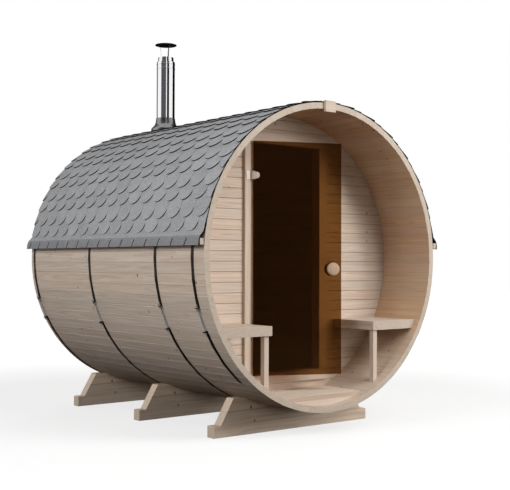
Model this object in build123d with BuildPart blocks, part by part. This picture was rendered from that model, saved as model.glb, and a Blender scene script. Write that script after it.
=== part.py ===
from build123d import *
from math import atan, cos, degrees, radians, sin, sqrt, tan
import os

# Barrel sauna: a lying stave barrel on three cradles, with an open porch, a glazed door and a shingled roof.
# Millimetres, +Z up, the porch faces -Y. The origin is on the ground, under the middle of the whole thing.

# Barrel
barrel_length = 2310
barrel_radius = 1025  # over the flat outer faces, at the joints
barrel_clearance = 149.5  # ground to the underside of the barrel
stave_count = 88
stave_groups = 8
stave_thickness = 40
stave_chamfer = 2.5  # outer edges
joint_clearance = 0.4  # between the flanks of two staves
tongue_depth = 6
tongue_root = 16
tongue_tip = 11
croze_depth = 10  # groove in the staves that holds an end wall
fit_gap = 0.3  # between pieces that bear on each other

# End walls, floors
wall_thickness = 40
front_wall_back = 456  # front rim to the face of the front wall
rear_wall_inset = 50  # rear rim to the face of the rear wall
floor_rise = 108.5  # underside of the barrel to the top of the floor
floor_thickness = 28
porch_floor_back = 62  # front rim to the edge of the porch floor

# Door frame
opening_width = 600
sill_rise = 123  # floor to the opening's lower edge
header_drop = 242.5  # top of the barrel to the opening's upper edge
frame_width = 75
frame_depth = 80
frame_proud = 22  # frame's face before the wall's face

# Door leaf, shown ajar
door_angle = 24
glass_side_overlap = 15  # glass past the opening, at each side
glass_end_overlap = 8  # and at the top and bottom
glass_thickness = 8
glass_clearance = 5  # closed leaf to the frame's face
hinge_offset = 10  # hinge axis to the edge of the glass
knob_diameter = 90
knob_thickness = 24
knob_neck_diameter = 30
knob_neck_length = 12
knob_inset = 68  # knob's centre to the free edge
knob_rise = 722  # lower edge of the glass to the knob's centre
knob_chamfer = 5
upper_hinge_drop = 234  # upper edge of the glass to the upper hinge
lower_hinge_rise = 317  # lower edge of the glass to the lower hinge

# Glass hinges
hinge_disc_diameter = 46
hinge_disc_inset = 40  # disc's centre to the edge of the glass
hinge_back_plate_length = 56
hinge_back_plate_thickness = 3.5
hinge_plate_thickness = 5
hinge_arm_height = 24
hinge_knuckle_diameter = 13
hinge_knuckle_length = 26
hinge_eye_length = 14
hinge_pin_diameter = 6
hinge_pin_clearance = 0.1
hinge_knuckle_gap = 0.6
bracket_width = 34
bracket_thickness = 4

# Porch benches
bench_rise = 475  # floor to the top of the seats
bench_thickness = 62
bench_inner_side = 455  # barrel's middle plane to the bench
bench_front_back = 46  # front rim to the bench
leg_side = 37
leg_inset = 16

# Cradles
front_cradle_back = 353  # front rim to the first cradle's front face
rear_cradle_inset = 145  # rear rim to the last cradle's front face
cradle_thickness = 74
cradle_base_half_width = 688
cradle_base_height = 77
cradle_foot_half_width = 632.5
cradle_shoulder_half_width = 530
cradle_shoulder_rise = 98.5  # above the underside of the barrel

# Hoops, with a screw tensioner at each side
front_hoop_back = 121  # front rim to the hoop's middle
second_hoop_back = 537
third_hoop_share = 0.603  # of the barrel's length
rear_hoop_inset = 52  # rear rim to the hoop's middle
hoop_width = 27
hoop_thickness = 2
tensioner_upper_angle = 17.8  # below the barrel's side, to the upper lug
tensioner_lower_angle = 26.4
front_hoop_end_angle = 50.9  # below the barrel's side, where the front hoop is screwed on
lug_height = 22
lug_thickness = 4
rod_diameter = 8
rod_hole_diameter = 9.2
rod_height = 13  # rod's axis above the foot of the lugs
rod_overhang = 22
nut_width = 13
nut_thickness = 7

# Roof
course_count = 14
eaves_angle = 8.6  # above the barrel's side, to the tips of the lowest course
course_butt = 11  # thickness at a course's lower edge
course_head = 5
starter_thickness = 6
starter_kick = 7  # how far the strip's lower edge leans out
eaves_rise = 65.5  # barrel axis to the lower edge of the starter strip
batten_thickness = 28
batten_height = 40
batten_rise = 68.5  # barrel axis to the underside of the batten
roof_inset = 2  # roof's ends to the rims

# Block over the top joint of the front rim
block_width = 90
block_height = 76
block_thickness = 22
block_middle = -12
block_rise = 12.5  # block's top above the barrel

# Flue
flue_inset = 330  # rear rim to the flue's axis
flue_diameter = 148
flue_wall = 2
flue_drop = 139.5  # top of the barrel to the flue's lower end
flue_rise = 590.5  # top of the barrel to the collar's foot
flue_hole_clearance = 4
collar_diameter = 126
collar_height = 35
cap_gap = 102.5  # collar to the cap's rim
cap_diameter = 178
cap_thickness = 2.5
cap_rise = 14
cap_leg_width = 14
cap_leg_thickness = 3
cap_leg_count = 3
flashing_foot_diameter = 213
flashing_rise = 130.5  # top of the barrel to the flashing's throat
flashing_wall = 1.5

# Numbers of flats on the small round pieces
knob_sides = 32
knob_neck_sides = 16
hinge_disc_sides = 24
hinge_knuckle_sides = 8
rod_sides = 6
cap_sides = 24
flashing_sides = 24
flue_hole_sides = 12

overall_length = barrel_length + block_thickness
rim_y = -overall_length / 2 + block_thickness
axis_height = barrel_clearance + barrel_radius
barrel_top = axis_height + barrel_radius
pitch = 360 / stave_count
half_pitch = pitch / 2
stave_outer = barrel_radius * cos(radians(half_pitch))  # axis to the flat outer face
stave_inner = stave_outer - stave_thickness
floor_height = barrel_clearance + floor_rise
sill_height = floor_height + sill_rise
opening_height = barrel_top - header_drop - sill_height
frame_half_width = opening_width / 2 + frame_width
frame_bottom = sill_height - frame_width
frame_top = sill_height + opening_height + frame_width
frame_face = front_wall_back - frame_proud
bench_height = floor_height + bench_rise
rear_cradle_back = barrel_length - rear_cradle_inset
cradle_places = [front_cradle_back, (front_cradle_back + rear_cradle_back) / 2, rear_cradle_back]
hoop_places = [
    front_hoop_back,
    second_hoop_back,
    third_hoop_share * barrel_length,
    barrel_length - rear_hoop_inset,
]
flue_back = barrel_length - flue_inset

os.makedirs("parts", exist_ok=True)


def finish(builder, name):
    builder.part.label = name
    export_step(builder.part, f"parts/{name}.step")


def section(back, height=axis_height):
    """Plane across the barrel, at a distance behind the front rim. Local x is X, local y is up."""
    return Plane(origin=(0, rim_y + back, height), x_dir=(1, 0, 0), z_dir=(0, -1, 0))


def across(back, depth):
    """Middle of a span along the barrel."""
    return rim_y + back + depth / 2


def polar(angle, along, aside=0):
    """Point at a distance along the ray at an angle from the axis, and aside from the ray."""
    a = radians(angle)
    return (along * cos(a) - aside * sin(a), along * sin(a) + aside * cos(a))


def stave_ring(flat_distance):
    """Corners of the ring of flats that lie at a distance from the axis, one flat for each stave."""
    corner = flat_distance / cos(radians(half_pitch))
    return [polar(first_stave + (k + 0.5) * pitch, corner) for k in range(stave_count)]


group_starts = [round(k * stave_count / stave_groups) for k in range(stave_groups + 1)]
first_stave = 90 - (group_starts[1] - 1) / 2 * pitch


def stave_outline(angle):
    """Cross-section of the stave at an angle: tongue on the flank that comes next, groove on the other."""
    gap = joint_clearance / 2
    middle = stave_outer - stave_thickness / 2
    side = stave_outer * tan(radians(half_pitch)) - gap
    low, high = angle - half_pitch, angle + half_pitch
    inner = stave_inner / cos(radians(half_pitch))
    outer = stave_outer / cos(radians(half_pitch)) - stave_chamfer
    root, tip = tongue_root / 2, tongue_tip / 2
    deep = tongue_depth + joint_clearance
    return [
        polar(low, inner, gap),
        polar(high, inner, -gap),
        polar(high, middle - root, -gap),
        polar(high, middle - tip, tongue_depth),
        polar(high, middle + tip, tongue_depth),
        polar(high, middle + root, -gap),
        polar(high, outer, -gap),
        polar(angle, stave_outer, side - stave_chamfer),
        polar(angle, stave_outer, stave_chamfer - side),
        polar(low, outer, gap),
        polar(low, middle + root + joint_clearance, gap),
        polar(low, middle + tip + joint_clearance, deep),
        polar(low, middle - tip - joint_clearance, deep),
        polar(low, middle - root - joint_clearance, gap),
    ]


# Staves. Each carries a croze, a cross groove near either end that the end wall's rim stands in.
croze_width = wall_thickness + 2 * fit_gap
croze_places = [front_wall_back - fit_gap, barrel_length - rear_wall_inset - wall_thickness - fit_gap]
wall_reach = stave_inner + croze_depth - fit_gap
flue_hole_radius = flue_diameter / 2 + flue_hole_clearance
group_names = [
    "staves_top",
    "staves_upper_left",
    "staves_left",
    "staves_lower_left",
    "staves_bottom",
    "staves_lower_right",
    "staves_right",
    "staves_upper_right",
]
for group, name in enumerate(group_names):
    with BuildPart() as staves:
        with BuildSketch(section(0)):
            for k in range(group_starts[group], group_starts[group + 1]):
                Polygon(*stave_outline(first_stave + k * pitch), align=None)
        extrude(amount=-barrel_length)
        for back in croze_places:
            with BuildSketch(section(back)):
                Polygon(*stave_ring(stave_inner + croze_depth), align=None)
            extrude(amount=-croze_width, mode=Mode.SUBTRACT)
        if name == "staves_top":
            with BuildSketch(Plane.XY.offset(axis_height)):
                with Locations((0, rim_y + flue_back)):
                    RegularPolygon(flue_hole_radius, flue_hole_sides, major_radius=False)
            extrude(amount=2 * barrel_radius, mode=Mode.SUBTRACT)
    finish(staves, name)


# Front wall: boarding beside, over and under the door frame, let into the staves.
def wall_piece(name, left, right, low, high):
    """Piece of the front wall between two upright and two level lines, given from the ground up."""
    with BuildPart() as wall:
        with BuildSketch(section(front_wall_back)):
            Polygon(*stave_ring(wall_reach), align=None)
            with Locations(((left + right) / 2, (low + high) / 2 - axis_height)):
                Rectangle(right - left, high - low, mode=Mode.INTERSECT)
        extrude(amount=-wall_thickness)
    finish(wall, name)


wall_edge = frame_half_width + fit_gap
wall_top = barrel_top
wall_foot = barrel_clearance
wall_piece("front_wall_left", -barrel_radius, -wall_edge, wall_foot, wall_top)
wall_piece("front_wall_right", wall_edge, barrel_radius, wall_foot, wall_top)
wall_piece("front_wall_top", -frame_half_width, frame_half_width, frame_top + fit_gap, wall_top)
wall_piece("front_wall_base", -frame_half_width, frame_half_width, wall_foot, frame_bottom - fit_gap)

with BuildPart() as rear_wall:
    with BuildSketch(section(barrel_length - rear_wall_inset - wall_thickness)):
        Polygon(*stave_ring(wall_reach), align=None)
    extrude(amount=-wall_thickness)
finish(rear_wall, "rear_wall")


# Door frame: two posts between a sill and a header, standing proud of the wall on both faces.
frame_middle = across(frame_face, frame_depth)
post_height = opening_height - 2 * fit_gap
for name, side in (("door_post_left", -1), ("door_post_right", 1)):
    with BuildPart() as post:
        with BuildSketch(Plane.XY.offset(sill_height + fit_gap)):
            with Locations((side * (opening_width + frame_width) / 2, frame_middle)):
                Rectangle(frame_width, frame_depth)
        extrude(amount=post_height)
        chamfer(post.edges().filter_by(Axis.Z).group_by(Axis.Y)[0], length=2)
    finish(post, name)
for name, bottom in (("door_sill", frame_bottom), ("door_header", frame_top - frame_width)):
    with BuildPart() as rail:
        with BuildSketch(Plane.XY.offset(bottom)):
            with Locations((0, frame_middle)):
                Rectangle(2 * frame_half_width, frame_depth)
        extrude(amount=frame_width)
        chamfer(rail.edges().filter_by(Axis.X).group_by(Axis.Y)[0], length=2)
    finish(rail, name)


# Floors: boards laid on the staves, their ends cut to the barrel.
def floor_boards(name, back, depth):
    with BuildPart() as boards:
        with BuildSketch(section(back)):
            Polygon(*stave_ring(stave_inner - fit_gap), align=None)
            with Locations((0, floor_height - floor_thickness / 2 - axis_height)):
                Rectangle(2 * barrel_radius, floor_thickness, mode=Mode.INTERSECT)
        extrude(amount=-depth)
    finish(boards, name)


cabin_back = front_wall_back + wall_thickness
floor_boards("porch_floor", porch_floor_back, front_wall_back - fit_gap - porch_floor_back)
cabin_floor_depth = croze_places[1] - cabin_back - 2 * fit_gap
floor_boards("cabin_floor", cabin_back + fit_gap, cabin_floor_depth)


# Porch benches: a thick seat let against the staves and the wall, and one square leg at its free corner.
bench_depth = front_wall_back - fit_gap - bench_front_back
seat_middle = (bench_inner_side + barrel_radius) / 2
for name, side in (("left_bench_seat", -1), ("right_bench_seat", 1)):
    with BuildPart() as seat:
        with BuildSketch(section(bench_front_back)):
            Polygon(*stave_ring(stave_inner - fit_gap), align=None)
            with Locations((side * seat_middle, bench_height - bench_thickness / 2 - axis_height)):
                Rectangle(barrel_radius - bench_inner_side, bench_thickness, mode=Mode.INTERSECT)
        extrude(amount=-bench_depth)
    finish(seat, name)

leg_middle = bench_inner_side + leg_inset + leg_side / 2
leg_top = bench_height - bench_thickness - fit_gap - axis_height
with BuildPart() as bench_legs:
    with BuildSketch(section(bench_front_back + leg_inset)):
        Polygon(*stave_ring(stave_inner - fit_gap), align=None)
        with Locations((-leg_middle, leg_top - barrel_radius / 2), (leg_middle, leg_top - barrel_radius / 2)):
            Rectangle(leg_side, barrel_radius, mode=Mode.INTERSECT)
    extrude(amount=-leg_side)
finish(bench_legs, "bench_legs")


# Cradles: a base rail on the ground, and on it a saddle board hollowed to the barrel.
base_top = cradle_base_height - axis_height
shoulder_top = barrel_clearance + cradle_shoulder_rise - axis_height
foot_half_width = cradle_foot_half_width
for name, back in zip(("cradle_front", "cradle_middle", "cradle_rear"), cradle_places):
    with BuildPart() as cradle:
        with BuildSketch(section(back)):
            Polygon(
                (-foot_half_width, base_top + fit_gap),
                (foot_half_width, base_top + fit_gap),
                (cradle_shoulder_half_width, shoulder_top),
                (-cradle_shoulder_half_width, shoulder_top),
                align=None,
            )
            Polygon(*stave_ring(stave_outer + fit_gap), align=None, mode=Mode.SUBTRACT)
        extrude(amount=-cradle_thickness)
    finish(cradle, name)

with BuildPart() as cradle_bases:
    with BuildSketch(Plane.XY):
        with Locations(*[(0, across(back, cradle_thickness)) for back in cradle_places]):
            Rectangle(2 * cradle_base_half_width, cradle_thickness)
    extrude(amount=cradle_base_height)
    chamfer(cradle_bases.edges().filter_by(Axis.Y).group_by(Axis.Z)[-1], length=3)
finish(cradle_bases, "cradle_bases")


# Hoops: flat steel bent round the staves, turned out at a lug on either side of each tensioner.
hoop_inner = stave_outer + fit_gap
hoop_outer = hoop_inner + hoop_thickness


def hoop_ring(distance):
    """Corners of a hoop's skin, whose flats lie on every second stave at a distance from the axis."""
    corner = distance / cos(radians(pitch))
    return [polar(90 + 2 * k * pitch, corner) for k in range(stave_count // 2)]


def gap_outline(start, end):
    """Wedge from the axis out, between two angles."""
    return [(0, 0), polar(start, 2 * barrel_radius), polar(end, 2 * barrel_radius)]


def lug_outline(angle, turn):
    """Lug that stands out from a strap's end, on the strap's side of the angle."""
    near, far = barrel_radius + fit_gap, hoop_outer + lug_height
    return [
        polar(angle, near),
        polar(angle, near, turn * lug_thickness),
        polar(angle, far, turn * lug_thickness),
        polar(angle, far),
    ]


def tensioner_line(side):
    """Feet of the two lugs of a tensioner, on a chord of the barrel: upper angle and lower angle."""
    if side > 0:
        return -tensioner_upper_angle, -tensioner_lower_angle
    return 180 + tensioner_upper_angle, 180 + tensioner_lower_angle


def rod_ends(side):
    """Where the rod's axis meets the faces of the two lugs that look at each other."""
    upper, lower = tensioner_line(side)
    reach = hoop_outer + rod_height
    return Vector(*polar(upper, reach)), Vector(*polar(lower, reach))


def rod_plane(side, back):
    """Plane square to the rod at the upper lug, its z pointing down along the rod."""
    start, end = rod_ends(side)
    run = (end - start).normalized()
    return Plane(
        origin=(start.X, rim_y + back, axis_height + start.Y),
        x_dir=(0, 1, 0),
        z_dir=(run.X, 0, run.Y),
    )


rod_span = (rod_ends(1)[1] - rod_ends(1)[0]).length
hoop_names = ("hoop_front", "hoop_second", "hoop_third", "hoop_rear")
for number, (name, back) in enumerate(zip(hoop_names, hoop_places)):
    with BuildPart() as hoop:
        with BuildSketch(section(back - hoop_width / 2)):
            Polygon(*hoop_ring(hoop_outer), align=None)
            Polygon(*hoop_ring(hoop_inner), align=None, mode=Mode.SUBTRACT)
            for side in (-1, 1):
                Polygon(*gap_outline(*tensioner_line(side)), align=None, mode=Mode.SUBTRACT)
            if number == 0:
                below = (180 + front_hoop_end_angle, 360 - front_hoop_end_angle)
                Polygon(*gap_outline(*below), align=None, mode=Mode.SUBTRACT)
            for side in (-1, 1):
                upper, lower = tensioner_line(side)
                Polygon(*lug_outline(upper, side), align=None)
                Polygon(*lug_outline(lower, -side), align=None)
        extrude(amount=-hoop_width)
        for side in (-1, 1):
            with BuildSketch(rod_plane(side, back).offset(-rod_overhang)):
                RegularPolygon(rod_hole_diameter / 2, rod_sides)
            extrude(amount=rod_span + 2 * rod_overhang, mode=Mode.SUBTRACT)
    finish(hoop, name)

for name, side in (("tensioners_left", -1), ("tensioners_right", 1)):
    with BuildPart() as tensioners:
        for back in hoop_places:
            plane = rod_plane(side, back)
            with BuildSketch(plane.offset(-rod_overhang)):
                RegularPolygon(rod_diameter / 2, rod_sides)
            extrude(amount=rod_span + 2 * rod_overhang)
            lug_slope = lug_thickness / cos(radians((tensioner_lower_angle - tensioner_upper_angle) / 2))
            nut_seat = lug_slope + nut_width / 2 * tan(radians((tensioner_lower_angle - tensioner_upper_angle) / 2))
            for start in (-nut_seat - fit_gap - nut_thickness, rod_span + nut_seat + fit_gap):
                with BuildSketch(plane.offset(start)):
                    RegularPolygon(nut_width / 2, 6, major_radius=False)
                extrude(amount=nut_thickness)
    finish(tensioners, name)


# Roof: shingle courses that step down each side, and a starter strip folded over a batten at the eaves.
roof_inner = hoop_outer / cos(radians(pitch)) + fit_gap
roof_length = barrel_length - 2 * roof_inset
course_pitch = (90 - eaves_angle) / course_count
batten_inner = sqrt(roof_inner**2 - batten_rise**2)
batten_outer = batten_inner + batten_thickness


def on_side(side, points):
    """Points given for the right side, turned about to the left one where asked."""
    return [(side * x, z) for x, z in points]


def roof_outline():
    """Right side's cross-section: inner skin up to the ridge, and the stepped courses back down."""
    fold = (batten_outer + fit_gap, batten_rise + batten_height + fit_gap)
    foot = (fold[0] + starter_kick, eaves_rise)
    ridge = roof_inner / cos(radians(course_pitch / 2))
    steps = [eaves_angle + k * course_pitch for k in range(course_count + 1)]
    inside = [foot, fold] + [polar(a, ridge) for a in steps[:-1]]
    inside.append((fit_gap, ridge))
    outside = [(fit_gap, ridge + course_head)]
    for k in range(course_count, 0, -1):
        if k < course_count:
            outside.append(polar(steps[k], ridge + course_head))
        outside.append(polar(steps[k - 1], ridge + course_butt))
    outside.append(polar(steps[0], ridge + starter_thickness))
    outside.append((fold[0] + starter_thickness, fold[1] + starter_thickness / 2))
    outside.append((foot[0] + starter_thickness, foot[1]))
    return inside + outside


for name, side in (("roof_left", -1), ("roof_right", 1)):
    with BuildPart() as roof:
        with BuildSketch(section(roof_inset)):
            Polygon(*on_side(side, roof_outline()), align=None)
        extrude(amount=-roof_length)
        with BuildSketch(Plane.XY.offset(axis_height)):
            with Locations((0, rim_y + flue_back)):
                RegularPolygon(flue_hole_radius, flue_hole_sides, major_radius=False)
        extrude(amount=2 * barrel_radius, mode=Mode.SUBTRACT)
    finish(roof, name)

for name, side in (("eaves_batten_left", -1), ("eaves_batten_right", 1)):
    with BuildPart() as batten:
        with BuildSketch(section(0)):
            with Locations((side * (batten_inner + batten_outer) / 2, batten_rise + batten_height / 2)):
                Rectangle(batten_thickness, batten_height)
        extrude(amount=-barrel_length)
    finish(batten, name)

# Block over the joint of the top staves at the front rim
with BuildPart() as apex_block:
    with BuildSketch(section(-fit_gap)):
        with Locations((block_middle, barrel_radius + block_rise - block_height / 2)):
            Rectangle(block_width, block_height)
    extrude(amount=block_thickness - fit_gap)
    chamfer(apex_block.faces().sort_by(Axis.Y)[0].edges(), length=1.5)
finish(apex_block, "apex_block")


# Flue: a steel pipe through the top staves, a flashing cone on the shingles and a rain cap.
def flue_plane(height):
    return Plane(origin=(0, rim_y + flue_back, height), x_dir=(1, 0, 0), z_dir=(0, 0, 1))


flue_bottom = barrel_top - flue_drop
flue_top = barrel_top + flue_rise
collar_top = flue_top + collar_height
with BuildPart() as flue_pipe:
    with BuildSketch(flue_plane(flue_bottom)):
        Circle(flue_diameter / 2)
    extrude(amount=flue_top - flue_bottom)
    with BuildSketch(flue_plane(flue_top)):
        Circle(collar_diameter / 2)
    extrude(amount=collar_height)
    with BuildSketch(flue_plane(flue_bottom)):
        Circle(flue_diameter / 2 - flue_wall)
    extrude(amount=flue_top - flue_bottom - flue_wall, mode=Mode.SUBTRACT)
    with BuildSketch(flue_plane(flue_bottom)):
        Circle(collar_diameter / 2 - flue_wall)
    extrude(amount=collar_top - flue_bottom, mode=Mode.SUBTRACT)
finish(flue_pipe, "flue_pipe")

# Rain cap: a shallow folded cone on three flat legs
cap_height = collar_top + cap_gap
cap_radius = cap_diameter / 2
cap_taper = degrees(atan(0.75 * cap_radius / cap_rise))
leg_circle = collar_diameter / 2 - flue_wall / 2
leg_top = cap_height + (cap_radius - cap_thickness - leg_circle) / tan(radians(cap_taper)) + cap_thickness / 2
with BuildPart() as flue_cap:
    with BuildSketch(flue_plane(cap_height)):
        RegularPolygon(cap_radius, cap_sides)
    extrude(amount=cap_thickness)
    with BuildSketch(flue_plane(cap_height + cap_thickness)):
        RegularPolygon(cap_radius, cap_sides)
    extrude(amount=cap_rise, taper=cap_taper)
    with BuildSketch(flue_plane(cap_height)):
        RegularPolygon(cap_radius - cap_thickness, cap_sides)
    extrude(amount=cap_rise, taper=cap_taper, mode=Mode.SUBTRACT)
    with BuildSketch(flue_plane(collar_top + fit_gap)):
        with PolarLocations(leg_circle, cap_leg_count, start_angle=30):
            Rectangle(cap_leg_thickness, cap_leg_width)
    extrude(amount=leg_top - collar_top - fit_gap)
finish(flue_cap, "flue_cap")

# Flashing: a folded cone that stands on the crest of the roof round the flue
roof_crest = axis_height + max(z for x, z in roof_outline())
with BuildPart() as flue_flashing:
    flashing_foot = roof_crest + fit_gap
    flashing_height = barrel_top + flashing_rise - flashing_foot
    throat = flue_diameter / 2 + fit_gap
    slope = degrees(atan((flashing_foot_diameter / 2 - throat - flashing_wall) / flashing_height))
    with BuildSketch(flue_plane(flashing_foot)):
        RegularPolygon(flashing_foot_diameter / 2, flashing_sides, major_radius=False)
    extrude(amount=flashing_height, taper=slope)
    with BuildSketch(flue_plane(flashing_foot)):
        RegularPolygon(flashing_foot_diameter / 2 - flashing_wall, flashing_sides, major_radius=False)
    extrude(amount=flashing_height, taper=slope, mode=Mode.SUBTRACT)
finish(flue_flashing, "flue_flashing")


# Door leaf, in a frame of its own: x runs along the glass from the hinge axis, y into the cabin when shut.
glass_width = opening_width + 2 * glass_side_overlap
glass_height = opening_height + 2 * glass_end_overlap
glass_bottom = sill_height - glass_end_overlap
knob_height = glass_bottom + knob_rise
hinge_heights = (glass_bottom + lower_hinge_rise, glass_bottom + glass_height - upper_hinge_drop)
hinge_x = -glass_width / 2 - hinge_offset
hinge_y = rim_y + frame_face - glass_clearance - glass_thickness / 2
swing = radians(-door_angle)


def leaf_plane(height):
    return Plane(origin=(hinge_x, hinge_y, height), x_dir=(cos(swing), sin(swing), 0), z_dir=(0, 0, 1))


def leaf_face(along, height, depth):
    """Plane parallel to the glass, its z pointing out of the porch side, at a depth before its middle."""
    out = Vector(sin(swing), -cos(swing), 0)
    run = Vector(cos(swing), sin(swing), 0)
    place = Vector(hinge_x, hinge_y, height) + run * along + out * depth
    return Plane(origin=place, x_dir=run, z_dir=out)


clamp_along = hinge_offset + hinge_disc_inset
knob_along = hinge_offset + glass_width - knob_inset
with BuildPart() as door_glass:
    with BuildSketch(leaf_plane(glass_bottom)):
        with Locations((hinge_offset + glass_width / 2, 0)):
            Rectangle(glass_width, glass_thickness)
    extrude(amount=glass_height)
finish(door_glass, "door_glass")

for name, turn in (("door_knob_outside", 1), ("door_knob_inside", -1)):
    face = glass_thickness / 2 + fit_gap
    with BuildPart() as knob:
        with BuildSketch(leaf_face(knob_along, knob_height, turn * (face + knob_neck_length))):
            RegularPolygon(knob_diameter / 2, knob_sides)
        extrude(amount=turn * knob_thickness)
        rims = knob.faces().sort_by(SortBy.AREA)[-2:].edges()
        chamfer(rims, length=knob_chamfer)
        with BuildSketch(leaf_face(knob_along, knob_height, turn * face)):
            RegularPolygon(knob_neck_diameter / 2, knob_neck_sides)
        extrude(amount=turn * knob_neck_length)
    finish(knob, name)

# Moving halves of the hinges: a disc and an arm before the glass, a plate behind it, and the knuckle.
with BuildPart() as hinge_clamps:
    face = glass_thickness / 2 + fit_gap
    web_depth = 2 * face + hinge_plate_thickness + hinge_back_plate_thickness
    for height in hinge_heights:
        with BuildSketch(leaf_face(clamp_along, height, face)):
            RegularPolygon(hinge_disc_diameter / 2, hinge_disc_sides)
            with Locations((-clamp_along / 2, 0)):
                Rectangle(clamp_along, hinge_arm_height)
        extrude(amount=hinge_plate_thickness)
        with BuildSketch(leaf_face(hinge_back_plate_length / 2, height, -face)):
            Rectangle(hinge_back_plate_length, hinge_arm_height)
        extrude(amount=-hinge_back_plate_thickness)
        with BuildSketch(leaf_plane(height - hinge_knuckle_length / 2)):
            RegularPolygon(hinge_knuckle_diameter / 2, hinge_knuckle_sides)
            with Locations((hinge_knuckle_diameter / 4, (hinge_back_plate_thickness - hinge_plate_thickness) / 2)):
                Rectangle(hinge_knuckle_diameter / 2, web_depth)
        extrude(amount=hinge_knuckle_length)
        with BuildSketch(leaf_plane(height - hinge_knuckle_length)):
            Circle(hinge_pin_diameter / 2 + hinge_pin_clearance)
        extrude(amount=2 * hinge_knuckle_length, mode=Mode.SUBTRACT)
finish(hinge_clamps, "hinge_clamps")

# Fixed halves: a plate on the post, an eye above and below the knuckle, and the pin.
eye_start = hinge_knuckle_length / 2 + hinge_knuckle_gap
bracket_height = 2 * (eye_start + hinge_eye_length)
post_face = rim_y + frame_face
plate_side = hinge_x - hinge_knuckle_diameter / 2 - 2 * hinge_knuckle_gap
plate_y = post_face - fit_gap - bracket_thickness / 2
with BuildPart() as hinge_brackets:
    for height in hinge_heights:
        with BuildSketch(Plane.XY.offset(height - bracket_height / 2)):
            with Locations((plate_side - bracket_width / 2, plate_y)):
                Rectangle(bracket_width, bracket_thickness)
        extrude(amount=bracket_height)
        for start in (eye_start, -eye_start - hinge_eye_length):
            with BuildSketch(Plane.XY.offset(height + start)):
                with Locations((hinge_x, hinge_y)):
                    RegularPolygon(hinge_knuckle_diameter / 2, hinge_knuckle_sides)
                with Locations((hinge_x - hinge_knuckle_diameter / 2, plate_y)):
                    Rectangle(hinge_knuckle_diameter, bracket_thickness)
            extrude(amount=hinge_eye_length)
        with BuildSketch(Plane.XY.offset(height - bracket_height / 2)):
            with Locations((hinge_x, hinge_y)):
                Circle(hinge_pin_diameter / 2)
        extrude(amount=bracket_height)
finish(hinge_brackets, "hinge_brackets")
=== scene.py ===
import random
from math import atan2, cos, hypot, pi, radians, sin

import bmesh
import bpy
from mathutils import Matrix, Vector


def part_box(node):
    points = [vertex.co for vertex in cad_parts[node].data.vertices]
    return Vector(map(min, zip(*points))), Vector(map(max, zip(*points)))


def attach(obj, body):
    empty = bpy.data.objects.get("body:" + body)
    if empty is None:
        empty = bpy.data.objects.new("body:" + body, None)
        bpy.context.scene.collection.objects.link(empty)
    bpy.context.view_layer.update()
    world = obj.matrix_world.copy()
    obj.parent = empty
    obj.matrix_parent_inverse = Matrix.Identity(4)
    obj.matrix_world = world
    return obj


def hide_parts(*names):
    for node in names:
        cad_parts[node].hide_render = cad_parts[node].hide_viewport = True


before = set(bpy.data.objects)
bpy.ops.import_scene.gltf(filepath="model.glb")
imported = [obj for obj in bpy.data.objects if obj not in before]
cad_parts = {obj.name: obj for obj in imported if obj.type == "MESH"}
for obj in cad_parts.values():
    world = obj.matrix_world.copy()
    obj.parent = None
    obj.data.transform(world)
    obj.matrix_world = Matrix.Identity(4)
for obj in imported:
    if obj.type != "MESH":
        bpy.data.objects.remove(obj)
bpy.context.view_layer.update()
bpy.context.scene.view_settings.view_transform = "Standard"


# The camera stands in front of the sauna, to the left of its doorway, at about the
# height of a person's chest. It has a 69 mm lens and looks slightly up.
def new_object(name, data):
    made = bpy.data.objects.new(name, data)
    bpy.context.scene.collection.objects.link(made)
    return made


PHOTO_WIDTH, FOCAL_PIXELS = 510, 976.107
camera_place = Vector((-4.42549, -5.88915, 1.12959))
camera_yaw, camera_pitch, camera_roll = radians(38.6155), radians(1.1084), radians(0.1668)
ahead = Vector((sin(camera_yaw) * cos(camera_pitch), cos(camera_yaw) * cos(camera_pitch),
                sin(camera_pitch)))
level = Vector((cos(camera_yaw), -sin(camera_yaw), 0))
upward = level.cross(ahead)
sideways = level * cos(camera_roll) + upward * sin(camera_roll)
upright = upward * cos(camera_roll) - level * sin(camera_roll)
camera_data = bpy.data.cameras.new("camera")
camera_data.sensor_width = 36
camera_data.lens = FOCAL_PIXELS / PHOTO_WIDTH * camera_data.sensor_width
camera_data.clip_end = 100
camera = new_object("camera", camera_data)
camera.matrix_world = Matrix((
    (sideways.x, upright.x, -ahead.x, camera_place.x),
    (sideways.y, upright.y, -ahead.y, camera_place.y),
    (sideways.z, upright.z, -ahead.z, camera_place.z),
    (0, 0, 0, 1)))
bpy.context.scene.camera = camera


# The studio is an even white room whose pale floor grows white away from the sauna. Soft
# lamps stand in front, from low down to high up, on the left, and behind.
def feed(tree, socket, value):
    """Links a socket's output to the socket, or sets a plain number or colour on it."""
    if isinstance(value, bpy.types.NodeSocket):
        tree.links.new(value, socket)
    else:
        socket.default_value = value


def add(tree, kind, *feeds, **named):
    """A new shader node. Feeds go to its inputs in order, names are inputs or settings."""
    made = tree.nodes.new("ShaderNode" + kind)
    inputs = {}
    for key, value in named.items():
        if key.replace("_", " ") in made.inputs and not hasattr(made, key):
            inputs[key.replace("_", " ")] = value
        else:
            setattr(made, key, value)
    for key, value in [*enumerate(feeds), *inputs.items()]:
        feed(tree, made.inputs[key], value)
    return made


def calc(tree, operation, *feeds, clamp=False):
    return add(tree, "Math", *feeds, operation=operation, use_clamp=clamp).outputs[0]


def mixed(tree, share, first, second, blend="MIX"):
    made = add(tree, "Mix", data_type="RGBA", blend_type=blend)
    for place, value in ((0, share), (6, first), (7, second)):
        feed(tree, made.inputs[place], value)
    return made.outputs[2]


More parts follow.
